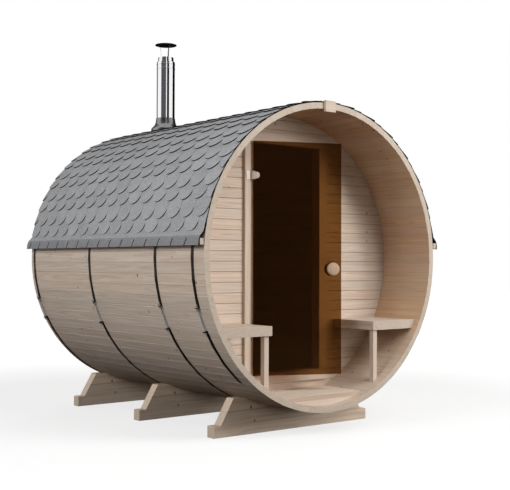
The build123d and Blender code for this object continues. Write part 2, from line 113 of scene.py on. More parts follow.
def paint(red, green, blue):
    """A colour as it shows on a screen, from 0 to 255, turned into linear light."""
    return tuple(c / 255 / 12.92 if c <= 10 else ((c / 255 + 0.055) / 1.055) ** 2.4
                 for c in (red, green, blue)) + (1.0,)


def new_material(name):
    made = bpy.data.materials.new(name)
    made.use_nodes = True
    made.node_tree.nodes.clear()
    return made, made.node_tree


def new_primitive(operator, name, **settings):
    """A primitive as the only selected object."""
    bpy.ops.object.select_all(action="DESELECT")
    operator(**settings)
    made = bpy.context.object
    made.name = name
    return made


def shows_background(tree):
    """1 where a ray comes from the camera, a reflection or glass, and 0 for lighting."""
    path = add(tree, "LightPath").outputs
    seen = calc(tree, "MAXIMUM", path["Is Camera Ray"], path["Is Glossy Ray"])
    return calc(tree, "MAXIMUM", seen, path["Is Transmission Ray"])


room = bpy.data.worlds.new("studio")
room.use_nodes = True
bpy.context.scene.world = room
tree = room.node_tree
tree.nodes.clear()
room_light = add(tree, "Background", Color=(1, 0.99, 0.975, 1), Strength=0.07)
room_white = add(tree, "Background", Color=(1, 1, 1, 1), Strength=1.0)
room_mix = add(tree, "MixShader", shows_background(tree), room_light.outputs[0],
               room_white.outputs[0])
add(tree, "OutputWorld", room_mix.outputs[0])

FADE_START, FADE_END = 2.6, 6.5
floor = new_primitive(bpy.ops.mesh.primitive_plane_add, "studio_floor", size=60)
material, tree = new_material("studio_floor")
floor_shaded = add(tree, "BsdfDiffuse", Color=(0.3, 0.3, 0.3, 1))
away = add(tree, "VectorMath", add(tree, "TexCoord").outputs["Object"], operation="LENGTH")
floor_white = add(tree, "Emission", Color=(1, 1, 1, 1), Strength=add(
    tree, "MapRange", away.outputs["Value"], FADE_START, FADE_END, 0.7, 1.0).outputs[0])
floor_pale = add(tree, "AddShader", floor_shaded.outputs[0], floor_white.outputs[0])
floor_bounce = add(tree, "BsdfDiffuse", Color=(0.035, 0.018, 0.007, 1))
floor_mix = add(tree, "MixShader", shows_background(tree), floor_bounce.outputs[0],
                floor_pale.outputs[0])
add(tree, "OutputMaterial", floor_mix.outputs[0])
floor.data.materials.append(material)

PORCH_MIDDLE, CABIN_MIDDLE = (0.0, -0.5, 1.1), (0.0, 0.4, 1.1)
WARM, NEUTRAL = (1.0, 0.99, 0.97), (1.0, 1.0, 1.0)
for name, place, target, width, power, colour in (
        ("key_lamp", (2.2, -7.0, 5.2), PORCH_MIDDLE, 3.0, 250, WARM),
        ("right_lamp", (4.6, -6.5, 2.6), PORCH_MIDDLE, 3.0, 266, WARM),
        ("top_lamp", (0.4, -5.2, 6.4), PORCH_MIDDLE, 3.0, 135, WARM),
        ("side_lamp", (-7.6, -1.2, 4.6), PORCH_MIDDLE, 3.0, 335, (0.98, 1.0, 1.02)),
        ("left_lamp", (-7.0, -4.5, 2.6), PORCH_MIDDLE, 3.0, 88, NEUTRAL),
        ("low_lamp", (1.8, -9.0, 0.8), PORCH_MIDDLE, 2.0, 48, (1.0, 0.98, 0.94)),
        ("rear_right_lamp", (6.8, 5.0, 2.1), CABIN_MIDDLE, 3.0, 250, NEUTRAL),
        ("rear_left_lamp", (-3.4, 8.4, 1.9), CABIN_MIDDLE, 3.0, 200, NEUTRAL)):
    lamp_data = bpy.data.lights.new(name, "AREA")
    lamp_data.size = width
    lamp_data.energy = power
    lamp_data.color = colour
    lamp = new_object(name, lamp_data)
    lamp.visible_glossy = False
    lamp.location = place
    lamp.rotation_euler = (Vector(target) - Vector(place)).to_track_quat("-Z", "Y").to_euler()


# Dark flags stand round the studio, as in product photography. They show only as the
# dark bands between the white ones in polished steel and glass.
def seen_in_reflections(piece, red, green, blue):
    material, tree = new_material(piece.name)
    dark = add(tree, "Emission", Color=(red, green, blue, 1), Strength=1.0)
    add(tree, "OutputMaterial", dark.outputs[0])
    piece.data.materials.append(material)
    piece.visible_camera = piece.visible_diffuse = piece.visible_shadow = False
    piece.visible_transmission = False


FLUE_PLACE = (0.0, 0.836)
FLAG_DISTANCE, FLAG_HALF_HEIGHT = 9.0, 7.0
to_camera = atan2(camera_place.y - FLUE_PLACE[1], camera_place.x - FLUE_PLACE[0])
for number, (start, end, shade) in enumerate((
        (-180, -122, 0.12), (-60, 4, 0.09), (16, 43.5, 0.003), (97, 180, 0.003))):
    flag = new_primitive(bpy.ops.mesh.primitive_plane_add, f"studio_flag_{number + 1}", size=2)
    middle = to_camera + radians((start + end) / 2)
    half = radians((end - start) / 2)
    flag.scale = (FLAG_DISTANCE * sin(half), FLAG_HALF_HEIGHT, 1)
    flag.rotation_euler = (pi / 2, 0, middle + pi / 2)
    flag.location = (FLUE_PLACE[0] + FLAG_DISTANCE * cos(half) * cos(middle),
                     FLUE_PLACE[1] + FLAG_DISTANCE * cos(half) * sin(middle),
                     FLAG_HALF_HEIGHT)
    seen_in_reflections(flag, shade, shade, shade * 1.03)

# A dark cloth lies on the floor as far as the flags. It too shows only in reflections.
cloth = new_primitive(bpy.ops.mesh.primitive_circle_add, "studio_cloth", vertices=64,
                      radius=9.6, fill_type="NGON", location=(*FLUE_PLACE, 0.0006))
seen_in_reflections(cloth, 0.02, 0.018, 0.016)


# All timber is planed pine: pale sapwood with darker late rings, fine fibres and a few
# knots. The figure is a solid one, so that it runs on from a board's face to its ends.
# Where boards meet, a dark line is painted as the shade in the joint.
def add_group(name, inputs, outputs):
    group = bpy.data.node_groups.new(name, "ShaderNodeTree")
    for direction, sockets in (("INPUT", inputs), ("OUTPUT", outputs)):
        for socket, kind in sockets.items():
            group.interface.new_socket(name=socket, in_out=direction,
                                       socket_type="NodeSocket" + kind)
    given = group.nodes.new("NodeGroupInput").outputs
    return group, given, group.nodes.new("NodeGroupOutput").inputs


def stretched_noise(tree, wood_place, along, across, detail):
    """Noise that is fine across the grain and drawn out along it."""
    scaled = [calc(tree, "MULTIPLY", place, fineness)
              for place, fineness in zip(wood_place, (along, across, across))]
    return add(tree, "TexNoise", Scale=1.0, Detail=detail, Vector=add(
        tree, "CombineXYZ", *scaled).outputs[0]).outputs[0]


timber_figure, given, result = add_group(
    "timber_figure",
    {"Place": "Vector", "Facing": "Float", "Board width": "Float", "Board start": "Float",
     "Pale": "Color", "Dark": "Color", "Ring": "Float", "Knots": "Float", "Seam": "Float"},
    {"Color": "Color", "Roughness": "Float", "Height": "Float"})
tree = timber_figure
KNOT_SPACING = 0.62
place = add(tree, "SeparateXYZ", given["Place"]).outputs
boards = calc(tree, "DIVIDE", calc(tree, "SUBTRACT", place["Y"], given["Board start"]),
              given["Board width"])
board = calc(tree, "FLOOR", boards)
part = calc(tree, "SUBTRACT", boards, board)
chance = add(tree, "TexWhiteNoise", noise_dimensions="1D", W=board)
rolls = add(tree, "SeparateColor", chance.outputs["Color"]).outputs
aside = calc(tree, "MULTIPLY", calc(tree, "SUBTRACT", part, 0.5), given["Board width"])
length = calc(tree, "MULTIPLY_ADD", rolls[0], 9.0, place["X"])
sideway = calc(tree, "MULTIPLY_ADD", calc(tree, "SUBTRACT", rolls[1], 0.5), 0.06, aside)
depth = calc(tree, "ADD", calc(tree, "MULTIPLY_ADD", rolls[2], 0.05, 0.028), place["Z"])
wood_place = (length, sideway, depth)
span = calc(tree, "FLOOR", calc(tree, "DIVIDE", length, KNOT_SPACING))
knot_roll = add(tree, "TexWhiteNoise", noise_dimensions="2D",
                Vector=add(tree, "CombineXYZ", span, board, 0.0).outputs[0])
knot_rolls = add(tree, "SeparateColor", knot_roll.outputs["Color"]).outputs
knot_middle = calc(tree, "MULTIPLY", calc(tree, "MULTIPLY_ADD", knot_rolls[0], 0.7,
                                          calc(tree, "ADD", span, 0.15)), KNOT_SPACING)
knot_along = calc(tree, "MULTIPLY", calc(tree, "SUBTRACT", length, knot_middle), 1.5)
knot_aside = calc(tree, "SUBTRACT", aside, calc(
    tree, "MULTIPLY", calc(tree, "SUBTRACT", knot_rolls[1], 0.5),
    calc(tree, "MINIMUM", given["Board width"], 0.12)))
knot_gap = calc(tree, "SQRT", calc(tree, "MULTIPLY_ADD", knot_along, knot_along,
                                   calc(tree, "MULTIPLY", knot_aside, knot_aside)))
knot_size = calc(tree, "MULTIPLY_ADD", knot_rolls[2], 0.008, 0.004)
knot_near = calc(tree, "DIVIDE", knot_gap, knot_size)
knot_there = calc(tree, "LESS_THAN", knot_roll.outputs["Value"], given["Knots"])
knot, knot_flow = [
    calc(tree, "MULTIPLY", knot_there, add(
        tree, "MapRange", knot_near, outer, inner, 0.0, 1.0,
        interpolation_type="SMOOTHSTEP").outputs[0])
    for outer, inner in ((1.12, 0.8), (4.5, 0.9))]
wander = stretched_noise(tree, wood_place, 0.9, 7.0, 2.0)
radius = calc(tree, "SQRT", calc(tree, "MULTIPLY_ADD", sideway, sideway,
                                 calc(tree, "MULTIPLY", depth, depth)))
radius = calc(tree, "MULTIPLY_ADD", wander, 0.03, radius)
radius = calc(tree, "MULTIPLY_ADD", knot_flow, 0.012, radius)
ring = add(tree, "ValToRGB", calc(tree, "FRACT", calc(tree, "DIVIDE", radius, given["Ring"])))
stops = ring.color_ramp.elements
stops[0].color, stops[1].color = (0.08, 0.08, 0.08, 1), (0.08, 0.08, 0.08, 1)
for position, level_there in ((0.5, 0.26), (0.84, 1.0), (0.93, 0.7)):
    stops.new(position).color = (level_there, level_there, level_there, 1)
fibre = stretched_noise(tree, wood_place, 16.0, 620.0, 3.0)
streak = stretched_noise(tree, wood_place, 1.3, 62.0, 2.0)
lines = stretched_noise(tree, wood_place, 3.2, 190.0, 2.0)
figure = calc(tree, "SUBTRACT", calc(tree, "MULTIPLY", ring.outputs[0], 0.3), 0.42)
for layer, weight in ((lines, 0.9), (streak, 0.56), (fibre, 0.42)):
    figure = calc(tree, "MULTIPLY_ADD", layer, weight, figure)
figure = calc(tree, "SUBTRACT", figure, 0.3, clamp=True)
colour = mixed(tree, figure, given["Pale"], given["Dark"])
tone = add(tree, "HueSaturation",
           Hue=calc(tree, "MULTIPLY_ADD", rolls[1], 0.008, 0.496),
           Saturation=calc(tree, "MULTIPLY_ADD", rolls[2], 0.16, 0.92),
           Value=calc(tree, "MULTIPLY_ADD", rolls[0], 0.08, 0.955), Color=colour)
knot_dark = mixed(tree, 1.0, given["Dark"], (0.36, 0.25, 0.2, 1), "MULTIPLY")
end_grain = add(tree, "MapRange", calc(tree, "ABSOLUTE", given["Facing"]),
                0.75, 0.95, 0.0, 1.0).outputs[0]
long_grain = calc(tree, "SUBTRACT", 1.0, end_grain)
knot = calc(tree, "MULTIPLY", knot, long_grain)
colour = mixed(tree, calc(tree, "MULTIPLY", knot, 0.85), tone.outputs[0], knot_dark)
end_colour = mixed(tree, 1.0, colour, (0.86, 0.88, 0.88, 1), "MULTIPLY")
colour = mixed(tree, end_grain, colour, end_colour)
# Painted shade: a dark brown line along each joint between boards, as the shade in the joint.
edge = calc(tree, "MULTIPLY", given["Board width"], calc(
    tree, "MINIMUM", part, calc(tree, "SUBTRACT", 1.0, part)))
seam_shade = add(tree, "MapRange", edge, 0.0008, 0.0034, 1.0, 0.0, interpolation_type="SMOOTHSTEP")
seam_shade_colour = mixed(tree, 1.0, colour, (0.42, 0.33, 0.27, 1), "MULTIPLY")
seam_shade_share = calc(tree, "MULTIPLY", seam_shade.outputs[0], calc(
    tree, "MULTIPLY", given["Seam"], long_grain))
relief = calc(tree, "MULTIPLY_ADD", fibre, 0.7, calc(tree, "MULTIPLY", ring.outputs[0], 0.35))
feed(tree, result["Color"], mixed(tree, seam_shade_share, colour, seam_shade_colour))
feed(tree, result["Roughness"], calc(tree, "MULTIPLY_ADD", fibre, 0.22, 0.46))
feed(tree, result["Height"], calc(tree, "MULTIPLY_ADD", knot, -0.4, relief))

PINE_PALE, PINE_DARK = paint(216, 202, 188), paint(177, 153, 134)
# Heights between which the painted warm shade inside the barrel comes in.
SHADE_WARMTH_LOW, SHADE_WARMTH_HIGH = 0.22, 0.72


def timber(name, axes, base=0.0, width=20.0, start=-10.0, pale=PINE_PALE, dark=PINE_DARK,
           ring=0.0045, knots=0.35, seam_shade=0.6, inner=None):
    """Pine whose grain runs along the first of the axes, with boards side by side along the
    second. The third goes into the wood from its face, which is at base. Without a
    width the piece is a single board. Inside a barrel the pale and the dark colour turn to
    warmer ones with height, as painted warm shade, and its boards' width is an angle."""
    made, tree = new_material(name)
    object_place = add(tree, "TexCoord").outputs
    at = add(tree, "SeparateXYZ", object_place["Object"]).outputs
    facing = add(tree, "SeparateXYZ", object_place["Normal"]).outputs[axes[0]]
    if inner:
        rise = calc(tree, "SUBTRACT", at["Z"], AXIS_HEIGHT)
        across = calc(tree, "ARCTAN2", rise, at["X"])
        inward = calc(tree, "SUBTRACT", calc(tree, "SQRT", calc(
            tree, "MULTIPLY_ADD", rise, rise, calc(tree, "MULTIPLY", at["X"], at["X"]))), base)
    else:
        across, inward = at[axes[1]], calc(tree, "SUBTRACT", at[axes[2]], base)
    where = add(tree, "CombineXYZ", at[axes[0]], across, inward).outputs[0]
    pattern = tree.nodes.new("ShaderNodeGroup")
    pattern.node_tree = timber_figure
    for key, value in (("Board width", width), ("Board start", start), ("Pale", pale),
                       ("Dark", dark), ("Ring", ring), ("Knots", knots), ("Seam", seam_shade)):
        pattern.inputs[key].default_value = value
    # Painted warm shade: the barrel's inner faces turn to the warmer colours, the more the
    # higher they are.
    if inner:
        warm_shade_share = calc(tree, "MULTIPLY", calc(tree, "LESS_THAN", inward, 0.006), calc(
            tree, "LESS_THAN", calc(tree, "ABSOLUTE", facing), 0.5))
        warm_shade_share = calc(tree, "MULTIPLY", warm_shade_share, add(
            tree, "MapRange", at["Z"], SHADE_WARMTH_LOW, SHADE_WARMTH_HIGH, 0.0, 1.0).outputs[0])
        for key, value, warm_shade in (("Pale", pale, inner[0]), ("Dark", dark, inner[1])):
            feed(tree, pattern.inputs[key], mixed(tree, warm_shade_share, value, warm_shade))
    feed(tree, pattern.inputs["Place"], where)
    feed(tree, pattern.inputs["Facing"], facing)
    surface = add(tree, "BsdfPrincipled", Base_Color=pattern.outputs["Color"],
                  Roughness=pattern.outputs["Roughness"], Specular_IOR_Level=0.25)
    bump = add(tree, "Bump", Strength=0.35, Distance=0.0012, Height=pattern.outputs["Height"])
    feed(tree, surface.inputs["Normal"], bump.outputs[0])
    add(tree, "OutputMaterial", surface.outputs[0])
    return made


def finish_node(name, material):
    """A CAD node that keeps its shape gets its material in all its slots."""
    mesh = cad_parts[name].data
    mesh.materials.clear()
    mesh.materials.append(material)


# The barrel is 88 straight pine staves, 40 mm thick, with tongues and grooves and small
# chamfers at their joints. Their cut ends show as the rims at the front and the back.
AXIS_HEIGHT = 1.1745
STAVE_PITCH = 2 * pi / 88
STAVE_INNER = 0.985
# Inside, the staves are painted warmer higher up, as painted warm shade.
stave_pine = timber("stave_pine", "YXZ", base=STAVE_INNER, width=STAVE_PITCH,
                    start=-pi - STAVE_PITCH / 2, ring=0.0052, knots=0.55, seam_shade=0.12,
                    inner=(paint(222, 192, 163), paint(184, 146, 112)))
for group in ("top", "upper_left", "left", "lower_left", "bottom", "lower_right", "right",
              "upper_right"):
    finish_node("staves_" + group, stave_pine)


# The front and rear walls are horizontal pine boards, 70 mm wide and 40 mm thick, with
# tongues and grooves and a small V at each joint. Their ends sit in the staves' croze.
def alone(piece):
    bpy.ops.object.select_all(action="DESELECT")
    piece.select_set(True)
    bpy.context.view_layer.objects.active = piece


def open_mesh(piece):
    """Edit mode on this piece alone, with nothing selected."""
    alone(piece)
    bpy.ops.object.mode_set(mode="EDIT")
    bpy.ops.mesh.select_all(action="DESELECT")


def close_mesh():
    bpy.ops.object.mode_set(mode="OBJECT")


def pick(piece, test, kind="FACE"):
    """Selects the faces, edges or corners of the piece that pass the test."""
    bpy.ops.mesh.select_mode(type=kind)
    bpy.ops.mesh.select_all(action="DESELECT")
    mesh = bmesh.from_edit_mesh(piece.data)
    parts = {"FACE": mesh.faces, "EDGE": mesh.edges, "VERT": mesh.verts}[kind]
    mesh.normal_update()
    for one in parts:
        if test(one):
            one.select_set(True)
    mesh.select_flush_mode()
    bmesh.update_edit_mesh(piece.data)


def cut(place, normal, **clearing):
    """Cuts the whole open piece along a plane."""
    bpy.ops.mesh.select_all(action="SELECT")
    bpy.ops.mesh.bisect(plane_co=place, plane_no=normal, **clearing)


def copy_of(node, name):
    """A copy of a CAD node as a mesh of whole faces, left open in edit mode."""
    piece = new_object(name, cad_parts[node].data.copy())
    piece.data.materials.clear()
    open_mesh(piece)
    bpy.ops.mesh.select_all(action="SELECT")
    bpy.ops.mesh.customdata_custom_splitnormals_clear()
    bpy.ops.mesh.remove_doubles(threshold=0.00002)
    bpy.ops.mesh.dissolve_limited(angle_limit=radians(0.4))
    bpy.ops.mesh.select_all(action="DESELECT")
    return piece


def apply_modifier(piece, kind, **settings):
    alone(piece)
    made = piece.modifiers.new(kind.lower(), kind)
    for key, value in settings.items():
        setattr(made, key, value)
    bpy.ops.object.modifier_apply(modifier=made.name)


def fixed(piece, material, body, slot, *nodes):
    """The finished piece gets its material, and its place in the frame."""
    if material:
        piece.data.materials.clear()
        piece.data.materials.append(material)
    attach(piece, body)
    if nodes:
        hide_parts(*nodes)


def v_groove(piece, axis, place, side_axis, side_place, inward):
    """Cuts a V across one face of the piece, where two boards meet."""
    normal, middle, move = [0, 0, 0], [0, 0, 0], [0, 0, 0]
    normal[axis] = 1
    for shift in (-GROOVE_HALF, 0, GROOVE_HALF):
        middle[axis] = place + shift
        cut(middle, normal)
    pick(piece, lambda v: abs(v.co[axis] - place) < 0.00005
         and abs(v.co[side_axis] - side_place) < 0.0003, "VERT")
    move[side_axis] = inward * GROOVE_DEPTH
    bpy.ops.transform.translate(value=move)


def grooved_boards(node, material, axis, joint, pitch, margin, side_axis, face, inward):
    """A wall or floor with a V at each joint that is farther than margin from its ends."""
    piece = copy_of(node, node + "_boards")
    low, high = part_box(node)
    while joint < high[axis] - margin:
        if joint > low[axis] + margin:
            v_groove(piece, axis, joint, side_axis, face, inward)
        joint += pitch
    close_mesh()
    fixed(piece, material, "sauna", "timber", node)


GROOVE_HALF, GROOVE_DEPTH = 0.0028, 0.0032
BOARD_HEIGHT, BOARD_JOINT = 0.0704, 0.302
FRONT_WALL_FACE, REAR_WALL_FACE = -0.688, 1.116
wall_pine = timber("wall_pine", "XZY", base=FRONT_WALL_FACE, width=BOARD_HEIGHT,
                   start=BOARD_JOINT)
rear_pine = timber("rear_wall_pine", "XZY", base=REAR_WALL_FACE, width=BOARD_HEIGHT,
                   start=BOARD_JOINT)
for node, face, inward, material in (
        ("front_wall_left", FRONT_WALL_FACE, 1, wall_pine),
        ("front_wall_right", FRONT_WALL_FACE, 1, wall_pine),
        ("front_wall_top", FRONT_WALL_FACE, 1, wall_pine),
        ("front_wall_base", FRONT_WALL_FACE, 1, wall_pine),
        ("rear_wall", REAR_WALL_FACE, -1, rear_pine)):
    grooved_boards(node, material, 2, BOARD_JOINT - 4 * BOARD_HEIGHT, BOARD_HEIGHT, 0.006,
                   1, face, inward)


# The door frame is four pieces of planed pine, 75 mm wide and 80 mm deep, round the
# opening. They stand 22 mm proud of the wall boards and have eased edges.
def smoothed(piece, angle):
    alone(piece)
    bpy.ops.object.shade_smooth_by_angle(angle=radians(angle))


def eased(piece, width):
    """Breaks the sharp edges of the piece and smooths them, with its faces left flat."""
    apply_modifier(piece, "BEVEL", width=width, segments=2, limit_method="ANGLE",
                   angle_limit=radians(28), use_clamp_overlap=True)
    smoothed(piece, 50)
    apply_modifier(piece, "WEIGHTED_NORMAL", weight=100, keep_sharp=True)


def eased_copy(node, finish, width, material, slot="timber"):
    """A CAD node's own shape with its edges eased, named after the node and the finish."""
    piece = copy_of(node, f"{node}_{finish}")
    close_mesh()
    eased(piece, width)
    fixed(piece, material, "sauna", slot, node)


FRAME_FACE = -0.71
post_pine = timber("post_pine", "ZXY", base=FRAME_FACE, ring=0.006, knots=0.15)
rail_pine = timber("rail_pine", "XZY", base=FRAME_FACE, ring=0.0075, knots=0.1)
for node, material in (("door_post_left", post_pine), ("door_post_right", post_pine),
                       ("door_sill", rail_pine), ("door_header", rail_pine)):
    eased_copy(node, "planed", 0.002, material)


# The porch and the cabin have floors of loose-laid pine boards, 28 mm thick and 98 mm
# wide, which lie across the barrel with their long edges slightly bevelled.
FLOOR_FRONT, FLOOR_BOARD = -1.082, 0.0985
# The floor pine is painted paler than the walls': painted light on the floors.
floor_pine_brightened = timber("floor_pine_brightened", "XYZ", base=0.258, width=FLOOR_BOARD, start=FLOOR_FRONT,
                    ring=0.006, pale=paint(234, 221, 207), dark=paint(200, 176, 154))
for node in ("porch_floor", "cabin_floor"):
    grooved_boards(node, floor_pine_brightened, 1, FLOOR_FRONT + FLOOR_BOARD, FLOOR_BOARD, 0.02,
                   2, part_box(node)[1].z, -1)


# A thin pine fascia closes the space under the porch floor's front edge. It is cut to
# the curve of the staves.
def settle(piece):
    """Puts the piece's place, turn and size into its mesh."""
    alone(piece)
    bpy.ops.object.transform_apply(location=True, rotation=True, scale=True)


def face_outwards():
    bpy.ops.mesh.select_all(action="SELECT")
    bpy.ops.mesh.normals_make_consistent(inside=False)


FASCIA_MIDDLE, FASCIA_PLAY = -1.081, 0.0008
fascia = new_primitive(bpy.ops.mesh.primitive_circle_add, "floor_fascia", vertices=176,
                       radius=STAVE_INNER - FASCIA_PLAY, fill_type="NGON",
                       rotation=(pi / 2, 0, 0), location=(0, FASCIA_MIDDLE, AXIS_HEIGHT))
settle(fascia)
open_mesh(fascia)
cut((0, 0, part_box("porch_floor")[0].z - 0.0006), (0, 0, 1), clear_outer=True)
face_outwards()
close_mesh()
apply_modifier(fascia, "SOLIDIFY", thickness=0.018, offset=0)
eased(fascia, 0.001)
fixed(fascia, rail_pine, "sauna", "timber")


# A bench runs along each side of the porch: a thick pine seat with eased edges, let
# against the staves behind, on one square pine leg at its free corner.
seat_pine = timber("seat_pine", "YXZ", base=0.733, ring=0.0065, knots=0.2)
leg_pine = timber("leg_pine", "ZXY", base=-1.06, ring=0.005)
for node, material, width in (("left_bench_seat", seat_pine, 0.004),
                              ("right_bench_seat", seat_pine, 0.004),
                              ("bench_legs", leg_pine, 0.0015)):
    eased_copy(node, "eased", width, material)


# Three cradles carry the barrel. Each is a saddle of 86 mm boards, sawn to the barrel's
# curve, on a base timber that lies across under it. Their pine is coarser than the
# barrel's, with many small knots.
# The cradles' pine is painted paler than the barrel's: painted light against the shade under
# the barrel.
CRADLE_PALE_BRIGHTENED, CRADLE_DARK_BRIGHTENED = paint(234, 216, 197), paint(192, 166, 141)
CRADLE_BOARD = 0.086
base_pine = timber("base_pine", "XYZ", base=0.077, pale=CRADLE_PALE_BRIGHTENED, dark=CRADLE_DARK_BRIGHTENED,
                   ring=0.005, knots=0.5)
for node, face in (("cradle_front", -0.791), ("cradle_middle", 0.115), ("cradle_rear", 1.021)):
    cradle_pine = timber(node + "_pine", "XZY", base=face, width=CRADLE_BOARD, start=-0.009,
                         pale=CRADLE_PALE_BRIGHTENED, dark=CRADLE_DARK_BRIGHTENED, ring=0.0045, knots=0.9)
    eased_copy(node, "sawn", 0.002, cradle_pine, "cradle_timber")
eased_copy("cradle_bases", "sawn", 0.003, base_pine, "cradle_timber")


# Four hoops of thin black steel strap hold the staves together. The front one has its
# lower ends screwed to the staves.
def metal(name, colour, roughness, metallic, wear=0.08, scale=60.0, bump=0.15):
    made, tree = new_material(name)
    place = add(tree, "TexCoord").outputs["Object"]
    grain = add(tree, "TexNoise", Vector=place, Scale=scale, Detail=4.0)
    stain = add(tree, "TexNoise", Vector=place, Scale=scale / 9, Detail=3.0)
    darker = mixed(tree, 1.0, colour, (0.55, 0.53, 0.5, 1), "MULTIPLY")
    spread = calc(tree, "MULTIPLY_ADD", grain.outputs[0], 0.6, calc(
        tree, "MULTIPLY", stain.outputs[0], 0.8))
    surface = add(tree, "BsdfPrincipled",
                  Base_Color=mixed(tree, calc(tree, "MULTIPLY", spread, wear * 4, clamp=True),
                                   colour, darker),
                  Roughness=calc(tree, "MULTIPLY_ADD", grain.outputs[0], wear * 2, roughness),
                  Metallic=metallic)
    relief = add(tree, "Bump", Strength=bump, Distance=0.0004, Height=grain.outputs[0])
    feed(tree, surface.inputs["Normal"], relief.outputs[0])
    add(tree, "OutputMaterial", surface.outputs[0])
    return made


HOOPS = ("hoop_front", "hoop_second", "hoop_third", "hoop_rear")
strap_steel = metal("strap_steel", paint(36, 27, 22), 0.42, 0.5)
for hoop in HOOPS:
    finish_node(hoop, strap_steel)


def turned(name, outline, sides, closed=False):
    """A round piece about the Z axis, drawn up ring by ring along (radius, height)."""
    piece = new_primitive(bpy.ops.mesh.primitive_circle_add, name, vertices=sides,
                          radius=outline[0][0], fill_type="NOTHING" if closed else "NGON",
                          location=(0, 0, outline[0][1]))
    settle(piece)
    bpy.ops.object.mode_set(mode="EDIT")
    bpy.ops.mesh.select_mode(type="EDGE")
    bpy.ops.mesh.select_all(action="SELECT")
    for (radius, height), (next_radius, next_height) in zip(outline, outline[1:]):
        bpy.ops.mesh.extrude_region_move(TRANSFORM_OT_translate={
            "value": (0, 0, next_height - height)})
        share = next_radius / radius
        bpy.ops.transform.resize(value=(share, share, 1), center_override=(0, 0, next_height))
    bpy.ops.mesh.select_all(action="SELECT")
    bpy.ops.mesh.remove_doubles(threshold=0.00002)
    face_outwards()
    close_mesh()
    return piece


def put(piece, place, axis=(0, 0, 1), spin=0.0):
    """Moves a piece made at the origin to its place, its Z turned to the axis."""
    turn = Vector(axis).to_track_quat("Z", "Y").to_matrix().to_4x4()
    piece.matrix_world = Matrix.Translation(place) @ turn @ Matrix.Rotation(spin, 4, "Z")
    settle(piece)
    return piece


def joined(pieces, name):
    alone(pieces[0])
    for piece in pieces:
        piece.select_set(True)
    bpy.ops.object.join()
    whole = bpy.context.object
    whole.name = name
    return whole


def ribbon(name, points, front, rear):
    """A strip from front to rear, bent along the (x, z) points as a sheet is folded."""
    strip = new_primitive(bpy.ops.mesh.primitive_plane_add, name, size=2)
    open_mesh(strip)
    bpy.ops.mesh.select_all(action="SELECT")
    bpy.ops.transform.resize(value=(1, (rear - front) / 2, 1), center_override=(0, 0, 0))
    bpy.ops.transform.translate(value=(0, (front + rear) / 2, 0))
    pick(strip, lambda v: v.co.x > 0, "VERT")
    bpy.ops.transform.translate(value=(points[1][0] - 1, 0, points[1][1]))
    pick(strip, lambda v: abs(v.co.x + 1) < 0.0001 and abs(v.co.z) < 0.0001, "VERT")
    bpy.ops.transform.translate(value=(points[0][0] + 1, 0, points[0][1]))
    for start, end in zip(points[1:], points[2:]):
        pick(strip, lambda e: all(hypot(v.co.x - start[0], v.co.z - start[1]) < 0.00005
                                  for v in e.verts), "EDGE")
        bpy.ops.mesh.extrude_region_move(TRANSFORM_OT_translate={
            "value": (end[0] - start[0], 0, end[1] - start[1])})
    return strip


HOOP_PLACES = [sum(corner.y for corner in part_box(hoop)) / 2 for hoop in HOOPS]
HOOP_RADIUS = 1.02665
HOOP_END, SCREW_FROM_END = 50.9, 0.7
screw_outline = [(0.0048, -0.0008), (0.0048, 0.0006), (0.0043, 0.0018), (0.0031, 0.0026),
                 (0.0016, 0.0029), (0.0014, 0.0012), (0.0004, 0.0011)]
bright_zinc = metal("bright_zinc", paint(214, 212, 208), 0.22, 1.0, scale=140.0)
screws = []
for side in (-1, 1):
    angle = radians(HOOP_END + SCREW_FROM_END)
    out = Vector((side * cos(angle), 0, -sin(angle)))
    screw = turned("screw", screw_outline, 20)
    screws.append(put(screw, Vector((0, HOOP_PLACES[0], AXIS_HEIGHT)) + out * HOOP_RADIUS, out))
screws = joined(screws, "hoop_screws")
smoothed(screws, 40)
fixed(screws, bright_zinc, "sauna", "zinc_steel")


